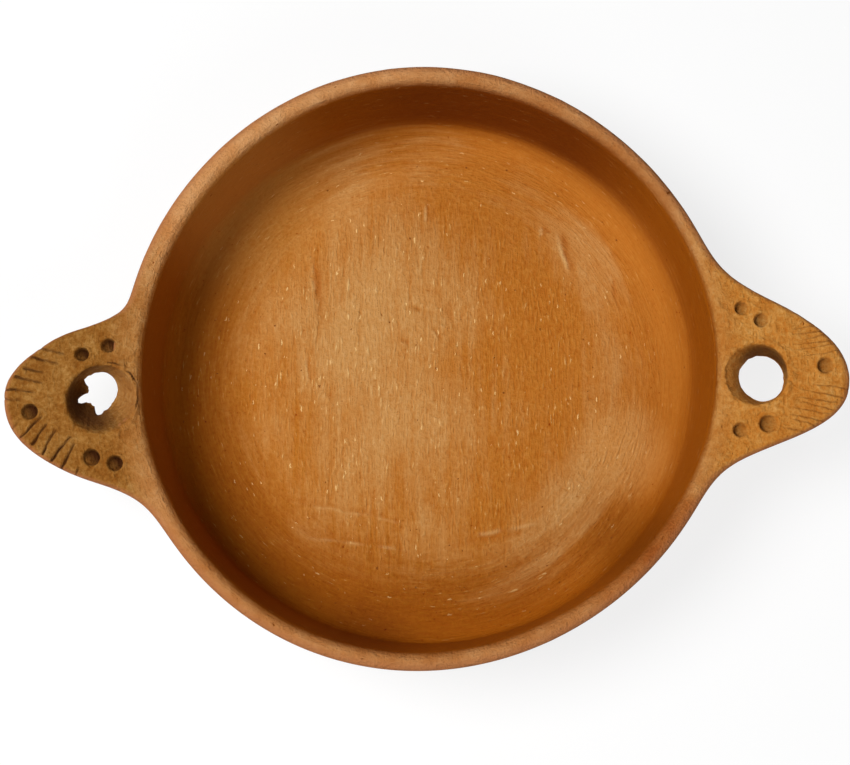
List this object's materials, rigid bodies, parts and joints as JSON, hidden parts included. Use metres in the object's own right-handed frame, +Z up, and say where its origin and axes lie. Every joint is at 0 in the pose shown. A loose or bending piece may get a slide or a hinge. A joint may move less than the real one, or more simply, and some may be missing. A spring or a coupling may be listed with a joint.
{
  "type": "open tagine dish",
  "caption": "Round flat-bottomed cooking dish of unglazed hand-built terracotta with upright walls, a rounded rim and pierced, stamped and incised lug handles.",
  "frame": {"origin": "centre of the flat base, on the surface that the dish stands on", "axes": "+X through the right lug, +Y away from the viewer (up in the picture), +Z up out of the dish"},
  "size_m": [0.3583, 0.26, 0.069],
  "materials": {
    "floor_clay": "stone-burnished unglazed terracotta",
    "wall_clay": "stone-burnished unglazed terracotta",
    "rim_clay": "matte sandy terracotta",
    "lug_clay": "matte sandy terracotta"
  },
  "bodies": {
    "root": {"floor_slab": "floor_clay", "corner_coil": "wall_clay", "lower_wall_coil": "wall_clay", "middle_wall_coil": "wall_clay", "upper_wall_coil": "wall_clay", "rim_coil": "rim_clay", "left_lug": "lug_clay", "right_lug": "lug_clay"}
  },
  "joints": []
}
